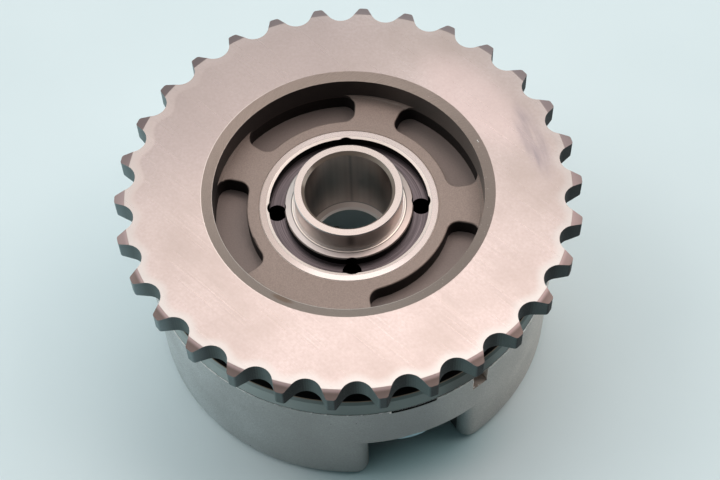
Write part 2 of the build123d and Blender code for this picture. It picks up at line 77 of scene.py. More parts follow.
class Along(Enum):
    """The coordinates of a canvas that a fade can follow."""

    X = "x"
    Y = "y"
    HEIGHT = "z"
    RADIUS = "radius"
    ASIDE = "aside"
    RIGHTWARD = "rightward"


class Curve(Enum):
    """How a mask goes from one end to the other."""

    EVEN = "LINEAR"
    EASED = "SMOOTHSTEP"


def linear(hex_colour: str) -> Rgba:
    """Turns an sRGB hex colour into linear light.

    Args:
        hex_colour: The colour as "#RRGGBB".

    Returns:
        Red, green, blue and an alpha of 1.
    """
    values = [int(hex_colour[i : i + 2], 16) / 255 for i in (1, 3, 5)]
    red, green, blue = [v / 12.92 if v <= 0.04045 else ((v + 0.055) / 1.055) ** 2.4 for v in values]
    return (red, green, blue, 1.0)


def add_node(tree: bpy.types.NodeTree, kind: str, inputs: dict, **settings: str) -> bpy.types.Node:
    """Adds one node, sets its properties and sets or links its inputs.

    Args:
        tree: The node tree.
        kind: The node type without its ShaderNode prefix.
        inputs: Input name or number, with a value, a hex colour or the socket that feeds it.
        settings: Properties of the node.

    Returns:
        The node.
    """
    node = tree.nodes.new("ShaderNode" + kind)
    for key, value in settings.items():
        setattr(node, key, value)
    for key, value in inputs.items():
        if isinstance(value, Socket):
            tree.links.new(value, node.inputs[key])
        else:
            node.inputs[key].default_value = linear(value) if isinstance(value, str) else value
    return node


@dataclass(frozen=True)
class Fade:
    """A slow change of strength along one coordinate, level before its start and after its end."""

    along: Along
    start: float
    end: float
    before: float = 0.0
    after: float = 1.0
    curve: Curve = Curve.EVEN

    def masks(self, c: "Canvas") -> list[Socket | float]:
        """Gives the change as one mask.

        Args:
            c: The canvas.

        Returns:
            The mask.
        """
        ends = {0: getattr(c, self.along.value), 1: self.start, 2: self.end, 3: self.before, 4: self.after}
        return [c.add("MapRange", ends, interpolation_type=self.curve.value)]


@dataclass(frozen=True)
class Zone:
    """A space about the axis. Each coordinate that it limits has a low end, a high end and a softness.

    Attributes:
        radius: Limits of the distance from the axis.
        height: Limits of the height.
        turn: Limits of the direction, in degrees.
        upward: Limits of how far the surface looks up, from -1 to 1.
        share: Strength of the mark inside.
    """

    radius: Limits | None = None
    height: Limits | None = None
    turn: Limits | None = None
    upward: Limits | None = None
    share: float = 1.0

    def masks(self, c: "Canvas") -> list[Socket | float]:
        """Gives the zone as one mask for each limited coordinate.

        Args:
            c: The canvas.

        Returns:
            The masks and the zone's share.
        """
        turn = self.turn and tuple(math.radians(value) for value in self.turn)
        pairs = ((c.radius, self.radius), (c.z, self.height), (c.angle, turn), (c.upward, self.upward))
        return [c.band(value, *limits) for value, limits in pairs if limits] + [self.share]


@dataclass(frozen=True)
class Patch:
    """A soft oval that lies along a circle about the axis.

    Attributes:
        angle: Direction of its middle.
        radius_mm: Radius of its middle.
        half_length_mm: Half its length along the circle.
        half_width_mm: Half its width across it.
        share: Strength of the mark in its middle.
        core: The part of its reach that is marked in full.
    """

    angle: float
    radius_mm: float
    half_length_mm: float
    half_width_mm: float
    share: float = 1.0
    core: float = 0.4

    def masks(self, c: "Canvas") -> list[Socket | float]:
        """Gives the oval as one mask: how far a point lies from the middle, in shares of the half length and width.

        Args:
            c: The canvas.

        Returns:
            The mask and the patch's share.
        """
        turn = math.radians(self.angle)
        middle = (self.radius_mm * math.cos(turn), self.radius_mm * math.sin(turn), 0.0)
        shift = c.add("VectorMath", {0: c.flat, 1: middle}, operation="SUBTRACT")
        turned = c.add("VectorRotate", {"Vector": shift, "Angle": -turn}, rotation_type="Z_AXIS")
        scale = (1 / self.half_width_mm, 1 / self.half_length_mm, 0.0)
        scaled = c.add("VectorMath", {0: turned, 1: scale}, operation="MULTIPLY")
        reach = c.add("VectorMath", {0: scaled}, out="Value", operation="LENGTH")
        return [c.add("MapRange", {0: reach, 1: 1.0, 2: self.core}, interpolation_type=Curve.EASED.value), self.share]


Mark = Fade | Zone | Patch | Socket | float
Layer = tuple[Mark, str | Socket]


class Canvas:
    """The node tree of one material, with the coordinates that the finishes read, in millimetres."""

    def __init__(self, name: str) -> None:
        """Makes an empty material with its coordinates.

        Args:
            name: The name of the material.
        """
        self.material = bpy.data.materials.new(name)
        self.material.use_nodes = True
        self.tree = self.material.node_tree
        self.tree.nodes.clear()
        place = self.add("TexCoord", {}, out="Object")
        self.point = self.add("VectorMath", {0: place, "Scale": 1 / MM}, operation="SCALE")
        self.x, self.y, self.z = (self.add("SeparateXYZ", {0: self.point}, out=axis) for axis in range(3))
        self.aside = self.add("Math", {0: self.x}, operation="ABSOLUTE")
        self.flat = self.add("CombineXYZ", {0: self.x, 1: self.y})
        self.radius = self.add("VectorMath", {0: self.flat}, out="Value", operation="LENGTH")
        self.angle = self.add("Math", {0: self.y, 1: self.x}, operation="ARCTAN2")
        # The length along the circle through the point
        self.arc = self.add("Math", {0: self.angle, 1: self.radius}, operation="MULTIPLY")
        normal = self.add("NewGeometry", {}, out="True Normal")
        self.rightward = self.add("SeparateXYZ", {0: normal}, out=0)
        self.upward = self.add("SeparateXYZ", {0: normal}, out=2)

    def add(self, kind: str, inputs: dict, out: int | str = 0, **settings: str) -> Socket:
        """Adds one node to the material.

        Args:
            kind: The node type without its ShaderNode prefix.
            inputs: Input name or number, with a value, a hex colour or the socket that feeds it.
            out: The output to return, by name or number.
            settings: Properties of the node.

        Returns:
            The chosen output socket.
        """
        return add_node(self.tree, kind, inputs, **settings).outputs[out]

    def band(self, value: Socket, low: float, high: float, soft: float) -> Socket:
        """Marks where a value lies between two limits.

        Args:
            value: The value to test.
            low: Lower limit.
            high: Upper limit.
            soft: How far the mark fades to each side of a limit.

        Returns:
            A mask from 0 to 1.
        """
        rise = self.add("MapRange", {0: value, 1: low - soft, 2: low + soft}, interpolation_type=Curve.EASED.value)
        ends = {0: value, 1: high - soft, 2: high + soft, 3: 1.0, 4: 0.0}
        return self.mark(rise, self.add("MapRange", ends, interpolation_type=Curve.EASED.value))

    def mark(self, *parts: Mark) -> Socket:
        """Multiplies marks, so that the result shows where all of them do.

        Args:
            parts: Zones, fades, patches, masks or plain shares.

        Returns:
            Their product, a mask from 0 to 1.
        """
        masks: list[Socket | float] = []
        for part in parts:
            masks += part.masks(self) if isinstance(part, (Fade, Zone, Patch)) else [part]
        product, *others = (mask for mask in masks if mask != 1.0)
        for mask in others:
            product = self.add("Math", {0: product, 1: mask}, operation="MULTIPLY")
        return product

    def paint(self, base: str | Socket, layers: list[Layer]) -> Socket:
        """Lays colours over a base colour, the last one on top.

        Args:
            base: The colour below all layers.
            layers: Pairs of a mark and the colour it shows.

        Returns:
            The mixed colour.
        """
        colour = base
        for mark, over in layers:
            colour = self.add("Mix", {0: self.mark(mark), 6: colour, 7: over}, out=2, data_type="RGBA")
        return colour

    def level(self, base: float | Socket, layers: list[tuple[Mark, float | Socket]]) -> Socket:
        """Lays numbers over a base number, the last one on top.

        Args:
            base: The number below all layers.
            layers: Pairs of a mark and the number it shows.

        Returns:
            The mixed number.
        """
        number = base
        for mark, over in layers:
            number = self.add("Mix", {0: self.mark(mark), 2: number, 3: over}, data_type="FLOAT")
        return number

    def grain(
        self, size_mm: float, detail: float = 3.0, roughness: float = 0.55, vector: Socket | None = None
    ) -> Socket:
        """Gives an even mottle around 0.5.

        Args:
            size_mm: Size of its largest grains.
            detail: Octaves of finer grain.
            roughness: Strength of the finer octaves.
            vector: Coordinates in millimetres, or None for the point itself.

        Returns:
            The mottle's value.
        """
        inputs = {"Vector": vector or self.point, "Scale": 1 / size_mm, "Detail": detail, "Roughness": roughness}
        return self.add("TexNoise", inputs)

    def streaks(self, across: Socket, along: Socket, width_mm: float, length_mm: float, detail: float = 2.0) -> Socket:
        """Gives tool marks that are fine across one coordinate and long along another.

        Args:
            across: Coordinate across the marks, in millimetres.
            along: Coordinate along the marks, in millimetres.
            width_mm: Width of a mark.
            length_mm: Length of a mark.
            detail: Octaves of finer marks.

        Returns:
            The marks' value, around 0.5.
        """
        fine = self.add("Math", {0: across, 1: 1 / width_mm}, operation="MULTIPLY")
        slow = self.add("Math", {0: along, 1: 1 / length_mm}, operation="MULTIPLY")
        return self.grain(1.0, detail, 0.6, self.add("CombineXYZ", {0: fine, 1: slow}))

    def swing(self, value: Socket, low: float, high: float) -> Socket:
        """Stretches a mottle's usual range, 0.3 to 0.7, onto a range of numbers.

        Args:
            value: A mottle around 0.5.
            low: Number at its dark end.
            high: Number at its bright end.

        Returns:
            The stretched value.
        """
        return self.add("MapRange", {0: value, 1: 0.3, 2: 0.7, 3: low, 4: high})

    def finish(
        self,
        colour: Socket,
        roughness: Socket | float,
        bare: Socket | float,
        reliefs: tuple[tuple[Socket, float], ...] = (),
    ) -> bpy.types.Material:
        """Adds the reliefs, the shader and the output.

        Args:
            colour: Base colour.
            roughness: Roughness.
            bare: How much of the surface is bare metal.
            reliefs: Pairs of a height from 0 to 1 and the relief's depth in millimetres, the lowest first.

        Returns:
            The finished material.
        """
        inputs: dict = {"Base Color": colour, "Roughness": roughness, "Metallic": bare}
        for height, depth_mm in reliefs:
            below = {"Normal": inputs["Normal"]} if "Normal" in inputs else {}
            inputs["Normal"] = self.add("Bump", {"Height": height, "Strength": 1.0, "Distance": depth_mm * MM, **below})
        add_node(self.tree, "OutputMaterial", {"Surface": self.add("BsdfPrincipled", inputs)})
        return self.material


@dataclass(frozen=True)
class SprocketFinish:
    """Sintered steel. The end face is ground bright with faint scratches, and the rest keeps its pressed, dull skin."""

    # The ground face: its own colour, scratches, clouds and wear, and the room's reflections painted as shade and
    # highlight
    face: str = "#B7A6A2"
    face_far: str = "#A1918B"
    face_dull: str = "#9B8A84"
    face_back_shade: str = "#A2928E"
    face_back_shade_specks: str = "#8B7C78"
    face_back_shade_clouds: str = "#93847F"
    face_highlight: str = "#CDB2AE"
    face_smoke: str = "#887B7D"
    root_band: str = "#AEA6A2"
    root_band_back: str = "#B09F99"
    tooth_tip_face_shade: str = "#A08F8A"
    # The teeth: the chamfered sides at their tips and the walls of the gaps, in painted light and shade
    tooth_side_front_shade: str = "#61534F"
    tooth_side_back_light: str = "#94807E"
    tooth_side_left_shade: str = "#776462"
    tooth_tip_shade: str = "#6F615D"
    tooth_wall: str = "#202625"
    tooth_wall_tip_light: str = "#3E4648"
    tooth_wall_lit: str = "#62706F"
    tooth_wall_dim: str = "#0D0F0F"
    tooth_wall_left_light: str = "#8A989A"
    # The pressed skin, in the recess and under the teeth, with painted light, shade and highlights
    skin: str = "#9A877E"
    skin_dark: str = "#756660"
    recess_wall_shade: str = "#4C4644"
    recess_wall_right_light: str = "#8A7F79"
    pocket: str = "#8D7D77"
    pocket_wall_shade: str = "#2B2726"
    chamfer: str = "#AB998F"
    chamfer_front_shade: str = "#94847B"
    chamfer_marks: str = "#7C6D65"
    chamfer_right_shade: str = "#82726A"
    chamfer_glint: str = "#E8DDD6"
    smudge: str = "#6F5442"
    flange: str = "#6C7674"
    flange_left_light: str = "#A9B2B0"
    flange_shaded: str = "#4F5451"
    flange_rim_highlight: str = "#94816F"
    # Near black: painted shade in the undercut over its dark oxide
    undercut: str = "#0E0D0D"
    # A painted highlight on both edges of the recess chamfer
    edge: str = "#E8D8CF"
    nick: str = "#FFFFFF"

    # Sizes that the zones follow
    top_mm: float = 44.5
    tooth_count: int = 30
    tooth_phase: float = -5.67
    band_radius_mm: float = 42.0
    band_wave_mm: float = 0.8
    scratch_width_mm: float = 0.22
    scratch_length_mm: float = 14.0
    scratch_lean: float = 0.35
    cross_width_mm: float = 0.3
    cross_length_mm: float = 9.0
    cross_share: float = 0.4
    scratch_depth_mm: float = 0.002
    cloud_mm: float = 16.0
    speck_mm: float = 0.6
    smoke_width_mm: float = 1.2
    smoke_length_mm: float = 9.0
    chamfer_mark_mm: float = 0.28
    chamfer_glint_mm: float = 0.35
    nick_grain_mm: float = 0.4
    sinter_grain_mm: float = 0.24
    sinter_depth_mm: float = 0.03

    # Roughness, and how much of a zone is bare metal
    skin_rough: tuple[float, float] = (0.55, 0.68)
    face_rough: tuple[float, float] = (0.27, 0.33)
    side_rough: float = 0.42
    flange_rough: float = 0.55
    edge_rough: float = 0.3
    skin_bare: float = 0.75
    wall_bare: float = 0.6
    undercut_bare: float = 0.3

    face_zone: Zone = Zone(height=(top_mm - 0.01, FAR, 0.008))
    side_zone: Zone = Zone(radius=(43.9, FAR, 0.3), height=(43.9, top_mm - 0.02, 0.03), upward=(0.5, ABOVE, 0.1))
    tip_zone: Zone = Zone(radius=(45.4, FAR, 0.7), share=0.5)
    near_tip_zone: Zone = Zone(radius=(44.6, FAR, 0.4))
    tooth_fade_zone: Zone = Zone(radius=(44.2, FAR, 0.3), share=0.5)
    upright_zone: Zone = Zone(upward=(-0.5, 0.5, 0.1))
    tooth_wall_zone: Zone = Zone(radius=(40.0, FAR, 0.2), height=(38.9, FAR, 0.1), upward=(-0.5, 0.5, 0.1))
    flange_zone: Zone = Zone(radius=(40.0, FAR, 0.2), height=(0.0, 33.35, 0.05))
    flange_shade_zone: Zone = Zone(turn=(-66.0, -50.0, 4.584))
    flange_rim_zone: Zone = Zone(radius=(40.7, 41.1, 0.04), height=(33.0, 33.4, 0.05))
    undercut_zone: Zone = Zone(radius=(34.0, 41.0, 0.1), height=(32.9, 39.5, 0.1))
    recess_wall_zone: Zone = Zone(radius=(20.0, 27.1, 0.05), upward=(-0.5, 0.5, 0.1))
    pocket_zone: Zone = Zone(radius=(20.0, 27.1, 0.05), height=(30.0, 38.5, 0.2))
    chamfer_zone: Zone = Zone(radius=(26.9, 29.0, 0.02), height=(43.75, top_mm - 0.01, 0.02))
    chamfer_edge_zone: Zone = Zone(radius=(26.85, 27.0, 0.05), height=(43.6, 43.92, 0.05))
    face_edge_zone: Zone = Zone(radius=(28.95, 29.08, 0.05), height=(44.3, FAR, 0.05), share=0.35)
    nick_zone: Zone = Zone(height=(44.0, FAR, 0.1))

    smudge_patch: Patch = Patch(-118.5, 27.5, 2.9, 0.9, share=0.6)
    nick_patch: Patch = Patch(21.3, 28.2, 0.7, 0.14)
    smoke_patch: Patch = Patch(15.0, 38.6, 12.0, 3.2)
    # A painted highlight on the face, on the right behind the recess
    highlight_patch: Patch = Patch(38.0, 33.0, 19.0, 8.5, share=0.34)

    front: Fade = Fade(Along.Y, 20.0, -20.0, before=0.1)
    right: Fade = Fade(Along.X, 6.0, 22.0)
    not_right: Fade = Fade(Along.X, 6.0, 22.0, before=1.0, after=0.0)
    left: Fade = Fade(Along.X, -8.0, -24.0)
    # Painted shade: the face is painted darker behind and on the left, where it reflects a darker room
    shade_behind: Fade = Fade(Along.Y, -8.0, 14.0, curve=Curve.EASED)
    shade_left: Fade = Fade(Along.X, 16.0, -4.0)
    # The light share of the band lies on the far left
    band_left: Fade = Fade(Along.X, -18.0, -30.0, after=0.65)
    band_from: Fade = Fade(Along.Y, -14.0, 4.0)
    band_until: Fade = Fade(Along.Y, 10.0, 28.0, before=1.0, after=0.3)
    flange_leftward: Fade = Fade(Along.X, -3.0, -27.0)
    chamfer_forward: Fade = Fade(Along.Y, 24.0, 6.0, before=0.3, after=0.8)
    # Painted light and shade: a gap's wall is lighter where it faces left, and darker where it faces right
    tipward: Fade = Fade(Along.RADIUS, 42.3, 46.0)
    wall_far_left: Fade = Fade(Along.X, -14.0, -36.0)
    wall_lit: Fade = Fade(Along.RIGHTWARD, 0.15, -0.6, after=0.95)
    wall_dim: Fade = Fade(Along.RIGHTWARD, 0.0, 0.5, after=0.85)
    side_leftward: Fade = Fade(Along.X, -8.0, -30.0, after=0.85)
    side_backward: Fade = Fade(Along.Y, 2.0, 12.0)
    tip_not_right: Fade = Fade(Along.X, 36.0, 44.0, before=1.0, after=0.25)
    tip_not_left: Fade = Fade(Along.X, -45.0, -41.0, before=0.2, after=1.0)

    def make(self) -> bpy.types.Material:
        """Builds the material.

        Returns:
            The finished material.
        """
        c = Canvas("sintered_steel_ground_face")
        # Grinding scratches run across the face in two close directions
        lean = c.add("Math", {0: c.y, 1: self.scratch_lean, 2: c.x}, operation="MULTIPLY_ADD")
        slant = c.add("Math", {0: c.y, 1: c.x}, operation="ADD")
        scratch = c.streaks(slant, lean, self.scratch_width_mm, self.scratch_length_mm)
        cross = c.streaks(lean, c.y, self.cross_width_mm, self.cross_length_mm)
        mottle = c.grain(self.sinter_grain_mm, 2.0)

        face, side, tooth_wall = c.mark(self.face_zone), c.mark(self.side_zone), c.mark(self.tooth_wall_zone)
        chamfer_edge = c.mark(self.chamfer_edge_zone, self.front, self.not_right)
        nick_grain = c.band(c.grain(self.nick_grain_mm, 1.0), 0.5, ABOVE, 0.05)
        colour = c.paint(
            c.paint(self.skin, [(c.swing(mottle, 0.0, 0.22), self.skin_dark)]),
            [
                *self.recess_layers(c),
                # The gaps' walls are painted dark for their shade, with painted light
                (tooth_wall, self.gap_colour(c)),
                *self.flange_layers(c),
                (side, self.side_colour(c)),
                # Painted shade on the tooth tips at the front
                (c.mark(side, self.tip_zone, self.front), self.tooth_tip_shade),
                *self.face_layers(c, face, scratch),
                # Painted highlights on the chamfer's inner edge at the front and on the face's edge on the left
                (c.mark(chamfer_edge, 0.4), self.edge),
                (c.mark(self.face_edge_zone, self.left), self.edge),
                (c.mark(self.nick_patch, self.nick_zone, nick_grain), self.nick),
            ],
        )
        rough = c.level(
            c.swing(mottle, *self.skin_rough),
            [
                (self.flange_zone, self.flange_rough),
                (side, self.side_rough),
                (face, c.swing(scratch, *self.face_rough)),
                (chamfer_edge, self.edge_rough),
            ],
        )
        bare = c.level(
            self.skin_bare,
            [(tooth_wall, self.wall_bare), (self.undercut_zone, self.undercut_bare), (face, 1.0), (side, 1.0)],
        )
        scratched = c.mark(c.swing(c.level(scratch, [(self.cross_share, cross)]), 0.0, 1.0), face)
        sintered = c.mark(mottle, c.level(1.0, [(face, 0.0)]))
        reliefs = ((scratched, self.scratch_depth_mm), (sintered, self.sinter_depth_mm))
        return c.finish(colour, rough, bare, reliefs)

    def face_layers(self, c: Canvas, face: Socket, scratch: Socket) -> list[Layer]:
        """Gives the layers of the ground face.

        Args:
            c: The canvas.
            face: The mask of the face.
            scratch: The value of the scratches.

        Returns:
            The layers, the lowest first.
        """
        clouds = c.swing(c.grain(self.cloud_mm, 5.0, 0.62), 0.0, 1.0)
        specks = c.swing(c.grain(self.speck_mm, 2.0), 0.0, 1.0)
        face_colour = c.paint(
            self.face,
            [
                (clouds, self.face_far),
                (c.swing(scratch, 0.0, 0.24), self.face_dull),
                (c.mark(specks, 0.42), self.face_dull),
            ],
        )
        # Painted shade behind and on the left, with its own specks and clouds
        back_shade_colour = c.paint(
            self.face_back_shade,
            [(c.mark(specks, 0.38), self.face_back_shade_specks), (c.mark(clouds, 0.5), self.face_back_shade_clouds)],
        )
        # The bright band round the tooth roots ends on a wave: a circle that dips inwards at each tooth gap
        shifted = c.add("Math", {0: c.angle, 1: math.radians(self.tooth_phase)}, operation="SUBTRACT")
        turns = c.add("Math", {0: shifted, 1: float(self.tooth_count)}, operation="MULTIPLY")
        wave = c.add("Math", {0: turns}, operation="COSINE")
        past_wave = c.add("Math", {0: wave, 1: self.band_wave_mm, 2: c.radius}, operation="MULTIPLY_ADD")
        wide_band = c.band(past_wave, self.band_radius_mm - 0.7, FAR, 0.35)
        root_band = c.band(past_wave, self.band_radius_mm, FAR, 1.1)
        # A smoky streak lies on the right
        smoke = c.swing(c.streaks(c.radius, c.arc, self.smoke_width_mm, self.smoke_length_mm), 0.1, 0.85)
        return [
            (face, face_colour),
            # Painted shade behind and on the left
            (c.mark(face, self.shade_behind, self.shade_left), back_shade_colour),
            # Painted highlight on the right
            (c.mark(face, self.highlight_patch), self.face_highlight),
            (c.mark(face, wide_band, self.band_left, self.band_from, self.band_until), self.root_band_back),
            (c.mark(face, self.smoke_patch, smoke), self.face_smoke),
            (c.mark(face, root_band, self.front, 0.9), self.root_band),
            # Painted shade on the face towards the tooth tips at the front
            (c.mark(face, self.tooth_fade_zone, self.front), self.tooth_tip_face_shade),
        ]

    def recess_layers(self, c: Canvas) -> list[Layer]:
        """Gives the layers of the recess: its wall, its pockets and its chamfer with the brown smudge.

        Args:
            c: The canvas.

        Returns:
            The layers, the lowest first.
        """
        pocket, chamfer = c.mark(self.pocket_zone), c.mark(self.chamfer_zone)
        ground = c.streaks(c.arc, c.radius, self.chamfer_mark_mm, 4.0)
        # Painted glints: bright specks on the right of the chamfer
        glint = c.mark(self.right, c.band(c.grain(self.chamfer_glint_mm, 1.0), 0.74, ABOVE, 0.02), 0.3)
        chamfer_colour = c.paint(
            self.chamfer,
            [
                # Painted shade at the front and on the right
                (self.front, self.chamfer_front_shade),
                (c.swing(ground, 0.0, 0.5), self.chamfer_marks),
                (c.mark(self.right, self.chamfer_forward), self.chamfer_right_shade),
                (glint, self.chamfer_glint),
            ],
        )
        return [
            # The recess wall is painted dark for its shade, and lighter on the right for the light there
            (self.recess_wall_zone, c.paint(self.recess_wall_shade, [(self.right, self.recess_wall_right_light)])),
            (pocket, self.pocket),
            # The pockets' walls are painted near black for their shade
            (c.mark(pocket, self.upright_zone), self.pocket_wall_shade),
            (chamfer, chamfer_colour),
            (c.mark(chamfer, self.smudge_patch), self.smudge),
        ]

    def flange_layers(self, c: Canvas) -> list[Layer]:
        """Gives the layers of the flange and of the undercut above it, with painted light and shade.

        Args:
            c: The canvas.

        Returns:
            The layers, the lowest first.
        """
        flange = c.mark(self.flange_zone)
        return [
            (flange, self.flange),
            # Painted light on the left of the flange, painted shade near the notch and a painted highlight on the rim's
            # edge
            (c.mark(flange, self.flange_leftward), self.flange_left_light),
            (c.mark(flange, self.flange_shade_zone), self.flange_shaded),
            (self.flange_rim_zone, self.flange_rim_highlight),
            # Painted shade in the undercut, over dark oxide
            (self.undercut_zone, self.undercut),
        ]

    def gap_colour(self, c: Canvas) -> Socket:
        """Gives the colour of the tooth gaps' walls: painted shade, with painted light towards the tips, on the far
        left and where they face left.

        Args:
            c: The canvas.

        Returns:
            The colour.
        """
        layers = [
            (self.tipward, self.tooth_wall_tip_light),
            (self.wall_lit, self.tooth_wall_lit),
            (self.wall_dim, self.tooth_wall_dim),
            (c.mark(self.tipward, self.wall_far_left), self.tooth_wall_left_light),
        ]
        return c.paint(self.tooth_wall, layers)

    def side_colour(self, c: Canvas) -> Socket:
        """Gives the colour of the chamfered sides at the tooth tips: painted light behind, darker behind on the left
        and darkest near the front tips, in painted shade.

        Args:
            c: The canvas.

        Returns:
            The colour.
        """
        near_tip = c.mark(self.front, self.near_tip_zone, self.tip_not_right, self.tip_not_left)
        left_back = c.mark(self.side_leftward, self.side_backward)
        return c.paint(self.tooth_side_back_light, [(left_back, self.tooth_side_left_shade), (near_tip, self.tooth_side_front_shade)])


@dataclass(frozen=True)
class BlastedDrumFinish:
    """Sintered drum, shot blasted: an even dull grey with fine pits and a few dark specks."""

    skin: str = "#A5A7A6"
    dark: str = "#868583"
    flank_light: str = "#DCE1E1"
    shade: str = "#8F9191"
    warm_light: str = "#E3D8D0"
    leg_side_shade: str = "#77888A"
    inside: str = "#4A4D4D"
    speck: str = "#2B2D2C"
    notch: str = "#D6CAC2"
    notch_marks: str = "#957F70"
    notch_lip_highlight: str = "#EDE2DA"
    notch_glint: str = "#FFFFFF"
    slit: str = "#17120F"
    slit_speck_and_glint: str = "#FFF6EE"
    pit_mm: float = 0.3
    pit_depth_mm: float = 0.025
    cloud_mm: float = 9.0
    speck_mm: float = 0.15
    speck_spacing_mm: float = 5.0
    notch_mark_mm: float = 0.5
    notch_glint_mm: float = 0.7
    rough: tuple[float, float] = (0.48, 0.6)
    skin_bare: float = 0.7
    notch_bare: float = 0.1
    spot_bare: float = 0.2

    right: Fade = Fade(Along.X, 14.0, 38.0)
    left: Fade = Fade(Along.X, -10.0, -38.0)
    shade_zone: Zone = Zone(turn=(-88.0, -66.0, 9.167), share=0.8)
    leg_side_zone: Zone = Zone(height=(-1.0, 14.5, 1.5), turn=(-60.0, -56.5, 1.719), share=0.7)
    inside_zone: Zone = Zone(radius=(0.0, 38.6, 0.1), height=(-1.0, 15.4, 0.2))
    notch_zone: Zone = Zone(radius=(38.0, 41.5, 0.1), height=(23.4, 29.0, 0.05), turn=(-56.8648, -51.1352, 0.2292))
    left_lip_zone: Zone = Zone(
        radius=(41.3, 42.0, 0.1), height=(23.6, 29.0, 0.05), turn=(-56.6356, -56.3778, 0.0573), share=0.7
    )
    right_lip_zone: Zone = Zone(
        radius=(41.3, 42.0, 0.1), height=(23.6, 29.0, 0.05), turn=(-51.6222, -51.3644, 0.0573), share=0.7
    )
    slit_zone: Zone = Zone(radius=(38.9, 41.55, 0.02), height=(27.44, 28.5, 0.02), turn=(-80.7, -68.0, 0.1146))
    spot_zone: Zone = Zone(radius=(41.0, 42.0, 0.1), height=(27.6, 28.5, 0.1), turn=(-81.25, -80.75, 0.1146))

    def make(self) -> bpy.types.Material:
        """Builds the material.

        Returns:
            The finished material.
        """
        c = Canvas("blasted_sintered_drum")
        pits = c.grain(self.pit_mm, 2.0, 0.6)
        clouds = c.grain(self.cloud_mm, 3.0)
        near = c.add("TexVoronoi", {"Vector": c.point, "Scale": 1 / self.speck_spacing_mm}, out="Distance")
        specks = c.band(near, -1.0, self.speck_mm / self.speck_spacing_mm, 0.006)
        # The notch shows bare, brownish metal with painted white glints and painted highlights on its lips, and the
        # slit at the seam is painted dark for its shade inside
        notch = c.mark(self.notch_zone)
        notch_marks = c.swing(c.streaks(c.z, c.arc, self.notch_mark_mm, 3.0), 0.0, 0.8)
        notch_glint = c.band(c.grain(self.notch_glint_mm, 1.0), 0.64, ABOVE, 0.03)
        slit, spot = c.mark(self.slit_zone), c.mark(self.spot_zone)
        colour = c.paint(
            self.skin,
            [
                # Painted shade at the front, painted warm light on the right and painted light on the left flank
                (self.shade_zone, self.shade),
                (self.right, self.warm_light),
                (self.left, self.flank_light),
                (c.swing(pits, 0.0, 0.42), self.dark),
                (c.swing(clouds, 0.0, 0.3), self.dark),
                # Painted shade on the leg beside the window, like a side wall in shade
                (self.leg_side_zone, self.leg_side_shade),
                # Painted shade inside the skirt
                (self.inside_zone, self.inside),
                (specks, self.speck),
                (notch, self.notch),
                (c.mark(notch, notch_marks), self.notch_marks),
                # Painted highlights on the notch's lips
                (self.left_lip_zone, self.notch_lip_highlight),
                (self.right_lip_zone, self.notch_lip_highlight),
                # Painted shade in the slit, and a speck at its end painted white for its glint
                (slit, self.slit),
                (spot, self.slit_speck_and_glint),
                (c.mark(notch, notch_glint), self.notch_glint),
            ],
        )
        bare = c.level(self.skin_bare, [(notch, self.notch_bare), (slit, self.notch_bare), (spot, self.spot_bare)])
        return c.finish(colour, c.swing(pits, *self.rough), bare, ((pits, self.pit_depth_mm),))


